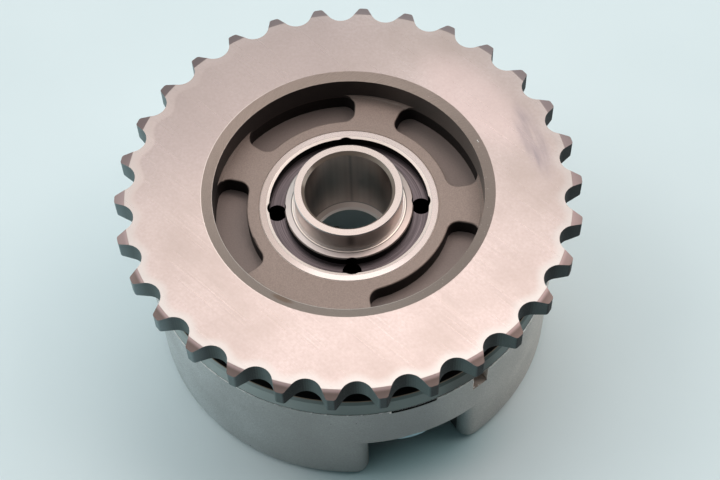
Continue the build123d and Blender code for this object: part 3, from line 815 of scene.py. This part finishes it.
@dataclass(frozen=True)
class RotorFinish:
    """Turned steel rotor: a finely ground end ring, a grooved floor with turning streaks and dark drillings."""

    body: str = "#A79F9B"
    ring: str = "#9E928E"
    ring_front_light: str = "#B3A7A3"
    ring_left_shade: str = "#857872"
    land: str = "#A89892"
    land_marks: str = "#8E807B"
    land_left_light: str = "#C4B4AE"
    land_right_light: str = "#B7A29A"
    # A painted highlight: the glint on the fillet at the sleeve's foot
    foot: str = "#F6E6DA"
    foot_line: str = "#4A4140"
    groove: str = "#706466"
    groove_marks: str = "#2C2627"
    groove_wall_shade: str = "#151414"
    bevel: str = "#EEDBD1"
    shoulder: str = "#E2CDC2"
    # Painted light: the cone seat, its left in shade and its mouth lightest
    cone: str = "#FFF0E8"
    cone_left_shade: str = "#D2C3BB"
    cone_mouth_light: str = "#FFF6F0"
    cone_joint: str = "#4E4541"
    # Painted light: the pale teal of the floor seen through the hole
    hole: str = "#A9BDC1"
    face_mm: float = 38.9
    top_mm: float = face_mm - 0.25
    groove_floor_mm: float = 36.7
    turning_mm: float = 0.16
    fine_turning_mm: float = 0.05
    turning_depth_mm: float = 0.0025
    crown_mm: float = 0.5
    body_rough: float = 0.42
    deep_rough: float = 0.6
    floor_rough: float = 0.38
    land_rough: float = 0.3
    ring_rough: float = 0.26
    land_bare: float = 0.85
    cone_bare: float = 0.05
    mouth_bare: float = 0.0
    hole_bare: float = 0.35
    edge_bare: float = 0.2

    ring_zone: Zone = Zone(radius=(16.55, 20.0, 0.03), height=(face_mm - 0.03, FAR, 0.02))
    land_zone: Zone = Zone(radius=(10.0, 13.0, 0.05), height=(top_mm, FAR, 0.02))
    foot_zone: Zone = Zone(radius=(11.1, 11.36, 0.03), height=(top_mm, FAR, 0.02))
    foot_line_zone: Zone = Zone(radius=(11.42, 11.6, 0.03), height=(top_mm, FAR, 0.02), share=0.85)
    bevel_zone: Zone = Zone(radius=(15.98, 16.56, 0.03), height=(top_mm, FAR, 0.02))
    shoulder_zone: Zone = Zone(radius=(17.76, 18.0, 0.02), height=(face_mm - 0.45, face_mm - 0.01, 0.01))
    floor_zone: Zone = Zone(radius=(12.85, 16.1, 0.02), height=(groove_floor_mm - 0.1, groove_floor_mm + 0.1, 0.05))
    deep_zone: Zone = Zone(radius=(12.0, 17.0, 0.02), height=(20.0, top_mm, 0.02))
    cone_zone: Zone = Zone(radius=(7.3, 8.8, 0.05), height=(25.2, 26.7, 0.02))
    cone_mouth_zone: Zone = Zone(radius=(7.3, 7.8, 0.06))
    cone_joint_zone: Zone = Zone(radius=(8.55, 8.8, 0.05), share=0.7)
    hole_zone: Zone = Zone(radius=(0.0, 7.5, 0.05), height=(0.0, 25.28, 0.02))

    land_leftward: Fade = Fade(Along.X, 0.0, -9.0)
    land_rightward: Fade = Fade(Along.X, 8.0, 12.0)
    land_inward: Fade = Fade(Along.RADIUS, 10.0, 13.0, before=1.0, after=0.0)
    ring_forward: Fade = Fade(Along.Y, -12.5, -16.0)
    ring_leftward: Fade = Fade(Along.X, -7.0, -16.0, after=0.7)
    cone_leftward: Fade = Fade(Along.X, 1.0, -6.0)

    def make(self) -> bpy.types.Material:
        """Builds the material.

        Returns:
            The finished material.
        """
        c = Canvas("turned_rotor_steel")
        ring, land, cone = c.mark(self.ring_zone), c.mark(self.land_zone), c.mark(self.cone_zone)
        floor, deep, hole = c.mark(self.floor_zone), c.mark(self.deep_zone), c.mark(self.hole_zone)
        bevel, shoulder = c.mark(self.bevel_zone), c.mark(self.shoulder_zone)
        mouth = c.mark(cone, self.cone_mouth_zone)
        turning = c.streaks(c.radius, c.arc, self.turning_mm, 18.0)
        fine = c.streaks(c.radius, c.arc, self.fine_turning_mm, 30.0, 1.0)
        colour = c.paint(
            self.body,
            [
                # The deep walls are painted near black for their shade
                (deep, self.groove_wall_shade),
                (floor, c.paint(self.groove, [(c.swing(turning, 0.0, 0.85), self.groove_marks)])),
                (land, c.paint(self.land, [(c.swing(turning, 0.0, 0.5), self.land_marks)])),
                # Painted light on the land's left and right
                (c.mark(land, self.land_leftward), self.land_left_light),
                (c.mark(land, self.land_rightward), self.land_right_light),
                (self.foot_line_zone, self.foot_line),
                # Painted highlight at the sleeve's foot
                (self.foot_zone, self.foot),
                (bevel, self.bevel),
                (ring, self.ring),
                # Painted light on the ring's front
                (c.mark(ring, self.ring_forward), self.ring_front_light),
                (shoulder, self.shoulder),
                # Painted shade on the ring's left
                (c.mark(ring, self.ring_leftward), self.ring_left_shade),
                # The cone seat is painted near white for the light it catches, in painted shade on the left and
                # lightest at its mouth
                (cone, self.cone),
                (c.mark(cone, self.cone_leftward), self.cone_left_shade),
                (mouth, self.cone_mouth_light),
                (c.mark(cone, self.cone_joint_zone), self.cone_joint),
                # The hole's wall is painted pale teal for the floor's light that shows through it
                (hole, self.hole),
            ],
        )
        rough = c.level(
            self.body_rough,
            [(deep, self.deep_rough), (floor, self.floor_rough), (land, self.land_rough), (ring, self.ring_rough)],
        )
        bare = c.level(
            1.0,
            [
                (land, self.land_bare),
                (cone, self.cone_bare),
                (mouth, self.mouth_bare),
                (hole, self.hole_bare),
                (bevel, self.edge_bare),
                (shoulder, self.edge_bare),
            ],
        )
        # The land is crowned: it falls outwards, so that its front catches the light that stands high behind the sleeve
        crown = c.mark(self.land_inward, land)
        turned = c.level(turning, [(0.5, fine)])
        return c.finish(colour, rough, bare, ((crown, self.crown_mm), (turned, self.turning_depth_mm)))


@dataclass(frozen=True)
class SleeveFinish:
    """Bright turned tube: fine rings on its rim and outside, drawn streaks in its bore."""

    metal: str = "#E2D6D1"
    metal_foot_shade: str = "#7E7572"
    metal_dark_reflection: str = "#857B78"
    rim: str = "#A0948F"
    mouth: str = "#A08D80"
    mouth_glow: str = "#E6D3C6"
    bore: str = "#F2E4DC"
    bore_marks: str = "#A8938C"
    bore_side_shade: str = "#4B4442"
    bore_seam: str = "#6B6361"
    top_mm: float = 44.0
    bore_mm: float = 8.7
    ring_mm: float = 0.12
    ring_depth_mm: float = 0.0015
    line_mm: float = 1.7
    outside_rough: tuple[float, float] = (0.34, 0.42)
    bore_rough: float = 0.29
    rim_rough: float = 0.26
    mouth_rough: float = 0.32
    shine_bare: float = 0.6
    low_bare: float = 0.25
    mouth_bare: float = 0.45

    rim_zone: Zone = Zone(height=(top_mm - 0.02, FAR, 0.01))
    mouth_zone: Zone = Zone(radius=(8.0, 9.6, 0.02), height=(top_mm - 0.74, top_mm - 0.03, 0.02))
    bore_zone: Zone = Zone(radius=(0.0, bore_mm + 0.03, 0.01), height=(0.0, top_mm - 0.77, 0.02))
    outside_zone: Zone = Zone(radius=(bore_mm + 0.5, FAR, 0.05))
    shine_zone: Zone = Zone(turn=(78.0, 104.0, 6.875), share=0.5)
    seam_zone: Zone = Zone(turn=(84.5, 88.0, 2.292), share=0.5)
    spot_zone: Zone = Zone(height=(40.6, 43.8, 0.9), turn=(-91.5, -87.0, 5.157))
    glow_zone: Zone = Zone(turn=(142.0, 170.0, 4.584))

    sideward: Fade = Fade(Along.ASIDE, 4.6, 7.4, after=0.85)
    footward: Fade = Fade(Along.HEIGHT, 40.8, 39.2, after=0.35)
    bore_downward: Fade = Fade(Along.HEIGHT, 34.0, 27.0)

    def make(self) -> bpy.types.Material:
        """Builds the material.

        Returns:
            The finished material.
        """
        c = Canvas("turned_sleeve_steel")
        mouth, bore, outside = c.mark(self.mouth_zone), c.mark(self.bore_zone), c.mark(self.outside_zone)
        rings = c.streaks(c.z, c.arc, self.ring_mm, 150.0)
        lines = c.streaks(c.arc, c.z, self.line_mm, 70.0, 1.0)
        colour = c.paint(
            self.metal,
            [
                (bore, c.paint(self.bore, [(c.swing(lines, 0.0, 0.35), self.bore_marks)])),
                # Painted shade on the bore's sides
                (c.mark(bore, self.sideward), self.bore_side_shade),
                (c.mark(bore, self.seam_zone), self.bore_seam),
                # Painted shade on the outside towards its foot
                (c.mark(outside, self.footward), self.metal_foot_shade),
                # A painted dark reflection below the rim at the front
                (c.mark(outside, self.spot_zone), self.metal_dark_reflection),
                (mouth, self.mouth),
                # Painted light at the back left of the mouth
                (c.mark(mouth, self.glow_zone), self.mouth_glow),
                (self.rim_zone, self.rim),
            ],
        )
        rough = c.level(
            c.swing(rings, *self.outside_rough),
            [(bore, self.bore_rough), (self.rim_zone, self.rim_rough), (mouth, self.mouth_rough)],
        )
        # The back of the bore and its lower end are less bare, so that their pale colour shows as painted light
        shine, low = c.mark(bore, self.shine_zone), c.mark(bore, self.bore_downward)
        bare = c.level(1.0, [(shine, self.shine_bare), (low, self.low_bare), (mouth, self.mouth_bare)])
        return c.finish(colour, rough, bare, ((c.level(rings, [(bore, 0.5)]), self.ring_depth_mm),))


@dataclass(frozen=True)
class PlainMetalFinish:
    """A small or hidden metal part: one colour with fine machining marks and light handling stains."""

    name: str
    base: str
    dark: str
    roughness: float
    mark_mm: float = 0.2
    bare: float = 1.0
    mark_depth_mm: float = 0.004

    def make(self) -> bpy.types.Material:
        """Builds the material.

        Returns:
            The finished material.
        """
        c = Canvas(self.name)
        marks = c.streaks(c.radius, c.arc, self.mark_mm, 20.0)
        stains = c.grain(6.0, 4.0)
        colour = c.paint(self.base, [(c.swing(marks, 0.0, 0.35), self.dark), (c.swing(stains, 0.0, 0.3), self.dark)])
        rough = c.swing(marks, self.roughness - 0.05, self.roughness + 0.06)
        return c.finish(colour, rough, self.bare, ((marks, self.mark_depth_mm),))


@dataclass(frozen=True)
class SealFinish:
    """Moulded seal bar of filled plastic: dark brown and silky."""

    base: str = "#3A332D"
    fleck: str = "#5A4E44"
    fleck_mm: float = 0.25
    fleck_depth_mm: float = 0.01
    roughness: float = 0.45

    def make(self) -> bpy.types.Material:
        """Builds the material.

        Returns:
            The finished material.
        """
        c = Canvas("moulded_seal_plastic")
        flecks = c.grain(self.fleck_mm, 2.0)
        colour = c.paint(self.base, [(c.swing(flecks, 0.0, 0.5), self.fleck)])
        return c.finish(colour, self.roughness, 0.0, ((flecks, self.fleck_depth_mm),))


@dataclass(frozen=True)
class TableSheetFinish:
    """Matt pale sheet on a table, with the faintest clouds. It is deeper in colour where the skirt shades it."""

    base: str = "#DDE7E9"
    cloud: str = "#C3D2D4"
    shaded: str = "#9DC2C7"
    cloud_mm: float = 40.0
    roughness: float = 0.75
    shade_zone: Zone = Zone(radius=(34.0, 90.0, 3.0), turn=(-100.0, -50.0, 14.324))
    shade_inward: Fade = Fade(Along.RADIUS, 51.0, 38.0, curve=Curve.EASED)

    def make(self) -> bpy.types.Material:
        """Builds the material.

        Returns:
            The finished material.
        """
        c = Canvas("pale_table_sheet")
        clouds = c.swing(c.grain(self.cloud_mm, 2.0), 0.0, 0.12)
        shaded = c.mark(self.shade_zone, self.shade_inward)
        return c.finish(c.paint(self.base, [(clouds, self.cloud), (shaded, self.shaded)]), self.roughness, 0.0)


def round_turns(count: int) -> np.ndarray:
    """Gives evenly spaced directions round a circle, in radians.

    Args:
        count: Number of directions.

    Returns:
        Array of directions, from 0.
    """
    return np.linspace(0, 2 * np.pi, count, endpoint=False)


def grid_faces(rows: int, columns: int, ring: bool = False) -> list[list[int]]:
    """Gives the faces of a grid: each joins a point, the next one along, the one beside that and the one beside itself.

    Args:
        rows: Number of sections along the grid.
        columns: Number of points round a section, which closes on itself.
        ring: Whether the last section joins the first.

    Returns:
        Corner numbers, four to a face.
    """
    i, j = np.meshgrid(np.arange(rows if ring else rows - 1), np.arange(columns), indexing="ij")
    ahead, aside = (i + 1) % rows, (j + 1) % columns
    corners = [i * columns + j, ahead * columns + j, ahead * columns + aside, i * columns + aside]
    return np.stack(corners, axis=-1).reshape(-1, 4).tolist()


def capped_grid_faces(rows: int, columns: int) -> list[list[int]]:
    """Gives the faces of a rod or drop: a grid with one more point at each end, and a fan of triangles round it.

    Args:
        rows: Number of sections between the ends.
        columns: Number of points round a section.

    Returns:
        Corner numbers of each face. The two end points come after the grid's.
    """
    j, aside, last = np.arange(columns), (np.arange(columns) + 1) % columns, (rows - 1) * columns
    start = np.stack([np.full(columns, rows * columns), j, aside], axis=-1)
    end = np.stack([np.full(columns, rows * columns + 1), last + aside, last + j], axis=-1)
    return grid_faces(rows, columns) + start.tolist() + end.tolist()


def put_mesh(name: str, points: np.ndarray, faces: list[list[int]], material: bpy.types.Material) -> bpy.types.Object:
    """Puts a worked-out surface into the scene.

    Args:
        name: Name of the object.
        points: Array of corner positions in metres.
        faces: Corner numbers of each face.
        material: Its material.

    Returns:
        The new object.
    """
    mesh = bpy.data.meshes.new(name)
    mesh.from_pydata(points.tolist(), [], faces)
    mesh.update()
    mesh.materials.append(material)
    piece = bpy.data.objects.new(name, mesh)
    bpy.context.scene.collection.objects.link(piece)
    LOG.info("%s: %s", name, material.name)
    return piece


def put_piece(
    name: str, points_mm: np.ndarray, faces: list[list[int]], body: Body, material: bpy.types.Material
) -> bpy.types.Object:
    """Puts a worked-out smooth surface onto a body as a piece.

    Args:
        name: Name of the piece.
        points_mm: Array of corner positions.
        faces: Corner numbers of each face.
        body: The body that the piece rides on.
        material: Its material.

    Returns:
        The new object.
    """
    piece = put_mesh(name, points_mm * MM, faces, material)
    piece.data.polygons.foreach_set("use_smooth", np.ones(len(faces), dtype=bool))
    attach(piece, body.value)
    return piece


def dress(material: bpy.types.Material, *nodes: str) -> None:
    """Gives frame nodes a material.

    Args:
        material: The material.
        nodes: Names of the nodes.
    """
    for name in nodes:
        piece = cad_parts[name]
        piece.data.materials.clear()
        piece.data.materials.append(material)
        LOG.info("%s: %s", name, material.name)


@dataclass
class Sprocket:
    """The toothed ring with its recess, which stays as the frame gives it."""

    finish: SprocketFinish = field(default_factory=SprocketFinish)

    def dress(self) -> None:
        """Gives the sprocket its finish."""
        dress(self.finish.make(), "sprocket")


@dataclass
class Drum:
    """The blasted housing, the burr at the seam under the flange, and the bluish one under the window's top edge."""

    radius_mm: float = 41.6
    slot: str = "drum_iron"
    # The seam's burr. Its stretches are a middle direction and a half width, and a factor for the thick ones
    seam_mm: float = 28.3
    burr_mm: float = 0.12
    burr_sunk_mm: float = 0.03
    burr_bare_mm: float = 0.01
    burr_rows: int = 1440
    burr_columns: int = 6
    burr_seed: int = 11
    burr_waves: tuple[int, ...] = (3, 7, 13, 29, 61, 113, 190)
    burr_mean: float = 0.7
    burr_swing: float = 0.22
    burr_least: float = 0.2
    burr_most: float = 1.4
    thick_stretches: tuple[Limits, ...] = ((231.0, 11.0, 1.25), (299.0, 7.0, 1.2), (248.0, 0.4, 4.0))
    dotted_stretch: tuple[float, float] = (259.0, 17.0)
    dot_waves: tuple[int, int] = (190, 113)
    dot_level: float = 1.5
    dot_low: float = 0.25
    dot_rise: float = 1.2
    bare_stretches: tuple[tuple[float, float], ...] = ((306.0, 2.9), (285.65, 6.6))
    # The window's burr
    window_top_mm: float = 15.5
    window_burr_angle: float = -74.8
    window_burr_half_angle: float = 4.2
    window_burr_sunk_mm: float = 0.25
    window_burr_half_depth_mm: float = 0.33
    window_burr_half_height_mm: float = 0.75
    window_burr_rows: int = 23
    window_burr_columns: int = 12

    def dress(self) -> None:
        """Gives the drum its finish and adds the burrs."""
        dress(BlastedDrumFinish().make(), "housing")
        # Metal that the cut has torn up, painted nearly white for its glints and too rough to mirror
        self.add_burr(PlainMetalFinish("torn_drum_iron_and_glint", "#FFFFFF", "#DDD3CC", 0.35, bare=0.2).make())
        # Metal at the window's cut: smooth and bluish
        self.add_window_burr(PlainMetalFinish("bluish_window_iron", "#A9CBD6", "#6F9099", 0.3, bare=0.4).make())

    def add_burr(self, material: bpy.types.Material) -> None:
        """Adds the burr: a ring whose section is a small circle, and whose size follows a sum of sines round it.

        Args:
            material: The burr's material.
        """
        rng = np.random.default_rng(self.burr_seed)
        turn = round_turns(self.burr_rows)
        waves = sum(rng.uniform(0.2, 1.0) * np.sin(k * turn + rng.uniform(0, 2 * np.pi)) for k in self.burr_waves)
        size = self.burr_mm * np.clip(self.burr_mean + self.burr_swing * waves, self.burr_least, self.burr_most)
        # In the dotted stretch the burr stands only where two quick waves meet
        quick, slow = self.dot_waves
        dots = self.dot_low + self.dot_rise * (np.sin(quick * turn) + np.sin(slow * turn + 1) > self.dot_level)
        angle = np.degrees(turn)
        for middle, half, factor in (*self.thick_stretches, (*self.dotted_stretch, dots)):
            size = np.where(np.abs(angle - middle) < half, size * factor, size)
        for middle, half in self.bare_stretches:
            size = np.where(np.abs(angle - middle) < half, self.burr_bare_mm, size)
        around = round_turns(self.burr_columns)
        radius = self.radius_mm - self.burr_sunk_mm + size[:, None] * np.cos(around)
        height = self.seam_mm + size[:, None] * np.sin(around)
        points = np.stack([radius * np.cos(turn)[:, None], radius * np.sin(turn)[:, None], height], axis=-1)
        faces = grid_faces(self.burr_rows, self.burr_columns, ring=True)
        put_piece("seam_burr", points.reshape(-1, 3), faces, Body.HOUSING, material)

    def add_window_burr(self, material: bpy.types.Material) -> None:
        """Adds the drop under the window's top edge: an ellipse carried along the drum, sized by the sine of its way.

        Args:
            material: The drop's material.
        """
        rows, columns = self.window_burr_rows, self.window_burr_columns
        way = np.linspace(0, np.pi, rows + 2)
        around = round_turns(columns)
        turn = np.radians(self.window_burr_angle - self.window_burr_half_angle * np.cos(way))[:, None]
        size = np.sin(way)[:, None]
        sunk = self.window_burr_sunk_mm
        radius = self.radius_mm - sunk + self.window_burr_half_depth_mm * size * np.cos(around)
        height = self.window_top_mm - sunk + self.window_burr_half_height_mm * size * np.sin(around)
        grid = np.stack([radius * np.cos(turn), radius * np.sin(turn), height], axis=-1)
        points = np.concatenate([grid[1:-1].reshape(-1, 3), grid[0, :1], grid[-1, :1]])
        put_piece("window_burr", points, capped_grid_faces(rows, columns), Body.HOUSING, material)


@dataclass
class LockSpring:
    """The coil under the lock pin, which rides on the pin."""

    wire_radius_mm: float = 0.25
    turn_count: int = 6
    stroke_mm: float = 3.2
    rows_per_turn: int = 48
    columns: int = 12

    def build(self, material: bpy.types.Material) -> None:
        """Adds the coil: a circle carried square to a helix, in the place of the frame's own coil.

        Args:
            material: The coil's material.
        """
        low, high = (np.array(corner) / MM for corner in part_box("lock_spring"))
        middle = (low + high) / 2
        coil_radius = (high[0] - low[0]) / 2 - self.wire_radius_mm
        rise = high[2] - low[2] - 2 * self.wire_radius_mm
        rows = self.rows_per_turn * self.turn_count + 1
        share = np.linspace(0, 1, rows)[:, None]
        turn = 2 * np.pi * self.turn_count * share
        level = np.zeros_like(turn)
        climb = level + rise / (2 * np.pi * self.turn_count * coil_radius)
        outward = np.concatenate([np.cos(turn), np.sin(turn), level], axis=-1)
        ahead = np.concatenate([-np.sin(turn), np.cos(turn), climb], axis=-1)
        ahead = ahead / np.linalg.norm(ahead, axis=-1, keepdims=True)
        upward = np.cross(outward, ahead)
        start = np.array([middle[0], middle[1], low[2] + self.wire_radius_mm])
        line = coil_radius * outward + start + share * [0, 0, rise]
        around = round_turns(self.columns)
        section = outward[:, None] * np.cos(around)[:, None] + upward[:, None] * np.sin(around)[:, None]
        grid = line[:, None] + self.wire_radius_mm * section
        points = np.concatenate([grid.reshape(-1, 3), line[:1], line[-1:]])
        faces = capped_grid_faces(rows, self.columns)
        piece = put_piece("lock_spring_coil", points, faces, Body.LOCK_PIN, material)
        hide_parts("lock_spring")
        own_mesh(piece)


@dataclass
class Rotor:
    """The rotor with its pilot sleeve, seals and lock pin."""

    seal_numbers: tuple[int, ...] = (1, 2, 3, 4)

    def dress(self) -> None:
        """Gives the turning parts their finishes, and the seals of the lobes with them."""
        dress(RotorFinish().make(), "rotor")
        dress(SleeveFinish().make(), "pilot_sleeve")
        carriers = [(place, number) for place in ("vane", "lobe") for number in self.seal_numbers]
        dress(SealFinish().make(), *(f"{place}_seal_{number}" for place, number in carriers))
        # Wire and strip drawn through a die: smooth and grey, with fine lines
        drawn = PlainMetalFinish("drawn_spring_steel", "#9C9893", "#6C6863", 0.35, 0.1).make()
        dress(drawn, *(f"{place}_seal_spring_{number}" for place, number in carriers))
        LockSpring().build(drawn)
        # Hardened and ground: pale, close-grained and bright
        hard = PlainMetalFinish("ground_hard_steel", "#BDB8B4", "#8F8A86", 0.25, 0.08).make()
        dress(hard, "lock_pin", "lock_sleeve", "lock_plug", "locating_dowel")


@dataclass
class FrontCover:
    """The cover plate inside the skirt, with its screws."""

    def dress(self) -> None:
        """Gives the cover and the screws their finishes."""
        # Ground on a coarse wheel: light grey with clear marks
        dress(PlainMetalFinish("ground_cover_steel", "#B5B0AB", "#8B8681", 0.36, 0.25).make(), "front_cover")
        # Black oxide over turned steel: nearly black with a dull shine
        dress(PlainMetalFinish("blackened_screw_steel", "#2C2B2B", "#161616", 0.42, 0.15, 0.8).make(), "cover_screws")


@dataclass(frozen=True)
class SoftBox:
    """A soft box that faces the object."""

    name: str
    place: tuple[float, float, float]
    size: tuple[float, float]
    watts: float
    colour: str

    def put(self, aim: Vector) -> None:
        """Puts the box into the scene.

        Args:
            aim: The point that it faces, in metres.
        """
        lamp = bpy.data.lights.new(self.name, "AREA")
        lamp.shape = "RECTANGLE"
        lamp.size, lamp.size_y = self.size
        lamp.energy = self.watts
        lamp.color = linear(self.colour)[:3]
        box = bpy.data.objects.new(self.name, lamp)
        box.location = self.place
        box.rotation_euler = (Vector(self.place) - aim).to_track_quat("Z", "Y").to_euler()
        bpy.context.scene.collection.objects.link(box)


@dataclass
class Stage:
    """Floor, light and camera."""

    floor_rings: tuple[float, ...] = (0.0, 0.3, 1.0, 3.0)
    floor_spokes: int = 48
    # The room: its colours from the horizon to overhead, and the direction in which it is brightest
    room_low: str = "#AFC5CA"
    room_middle: str = "#AEBBBE"
    room_top: str = "#EEF2F4"
    room_middle_height: float = 0.78
    bright_way: tuple[float, float, float] = (-0.40, 0.90, 0.18)
    dark_end: float = -0.4
    bright_end: float = 0.5
    dark_strength: float = 0.03
    bright_strength: float = 1.85
    boxes: tuple[SoftBox, ...] = (
        SoftBox("key", (0.28, 0.34, 1.14), (1.3, 0.4), 3.55, "#FFF4EE"),
        SoftBox("left", (-0.74, 0.24, 0.88), (0.8, 0.5), 2.3, "#FFF8F4"),
        SoftBox("right", (0.74, 0.24, 0.88), (0.8, 0.5), 2.5, "#FFF4EE"),
    )
    box_aim: tuple[float, float, float] = (0.0, 0.0, 0.03)
    # The camera, placed by the view that fits the teeth and the rims of the photographed object
    lens_mm: float = 79.73
    sensor_mm: float = 36.0
    clip: tuple[float, float] = (0.01, 20.0)
    elevation: float = 58.16
    roll: float = -2.20
    target_mm: tuple[float, float, float] = (1.937, -12.110, 44.5)
    distance_mm: float = 307.14

    def build(self) -> None:
        """Builds the stage."""
        self.add_floor()
        self.add_light()
        self.add_camera()

    def add_floor(self) -> None:
        """Adds a wide pale floor, a disc worked out from rings and spokes."""
        turn = round_turns(self.floor_spokes)
        x, y = np.outer(self.floor_rings, np.cos(turn)), np.outer(self.floor_rings, np.sin(turn))
        points = np.stack([x, y, np.zeros_like(x)], axis=-1).reshape(-1, 3)
        faces = grid_faces(len(self.floor_rings), self.floor_spokes)
        put_mesh("floor", points, faces, TableSheetFinish().make())

    def add_light(self) -> None:
        """Adds the soft light: a room that is brightest behind on the left, and three soft boxes behind the object."""
        world = bpy.data.worlds.new("studio")
        bpy.context.scene.world = world
        world.use_nodes = True
        tree = world.node_tree
        tree.nodes.clear()
        way = add_node(tree, "TexCoord", {}).outputs["Generated"]
        ramp = add_node(tree, "ValToRGB", {0: add_node(tree, "SeparateXYZ", {0: way}).outputs[2]})
        stops = ramp.color_ramp.elements
        stops[0].color, stops[1].color = linear(self.room_low), linear(self.room_top)
        stops.new(self.room_middle_height).color = linear(self.room_middle)
        slant = add_node(tree, "VectorMath", {0: way, 1: self.bright_way}, operation="DOT_PRODUCT").outputs["Value"]
        ends = {1: self.dark_end, 2: self.bright_end, 3: self.dark_strength, 4: self.bright_strength}
        strength = add_node(tree, "MapRange", {0: slant, **ends}).outputs[0]
        room = add_node(tree, "Background", {"Color": ramp.outputs[0], "Strength": strength})
        add_node(tree, "OutputWorld", {"Surface": room.outputs[0]})
        for box in self.boxes:
            box.put(Vector(self.box_aim))

    def add_camera(self) -> None:
        """Adds the camera: it looks at the target from the front and above, rolled about its own line of sight."""
        data = bpy.data.cameras.new("camera")
        data.lens = self.lens_mm
        data.sensor_width = self.sensor_mm
        data.clip_start, data.clip_end = self.clip
        camera = bpy.data.objects.new("camera", data)
        up_angle, roll = math.radians(self.elevation), math.radians(self.roll)
        back = Vector((0, -math.cos(up_angle), math.sin(up_angle)))
        right, up = Vector((1, 0, 0)), Vector((0, math.sin(up_angle), math.cos(up_angle)))
        rolled_right = math.cos(roll) * right + math.sin(roll) * up
        rolled_up = -math.sin(roll) * right + math.cos(roll) * up
        place = (Vector(self.target_mm) + back * self.distance_mm) * MM
        turn = Matrix((rolled_right, rolled_up, back)).transposed().to_4x4()
        camera.matrix_world = Matrix.Translation(place) @ turn
        bpy.context.scene.collection.objects.link(camera)
        bpy.context.scene.camera = camera


def main() -> None:
    """Builds the dressed cam phaser and its stage."""
    logging.basicConfig(level=logging.INFO, format="%(name)s: %(message)s")
    bpy.context.scene.view_settings.view_transform = "Standard"
    for part in (Sprocket(), Drum(), Rotor(), FrontCover()):
        part.dress()
    Stage().build()


if __name__ == "__main__":
    main()
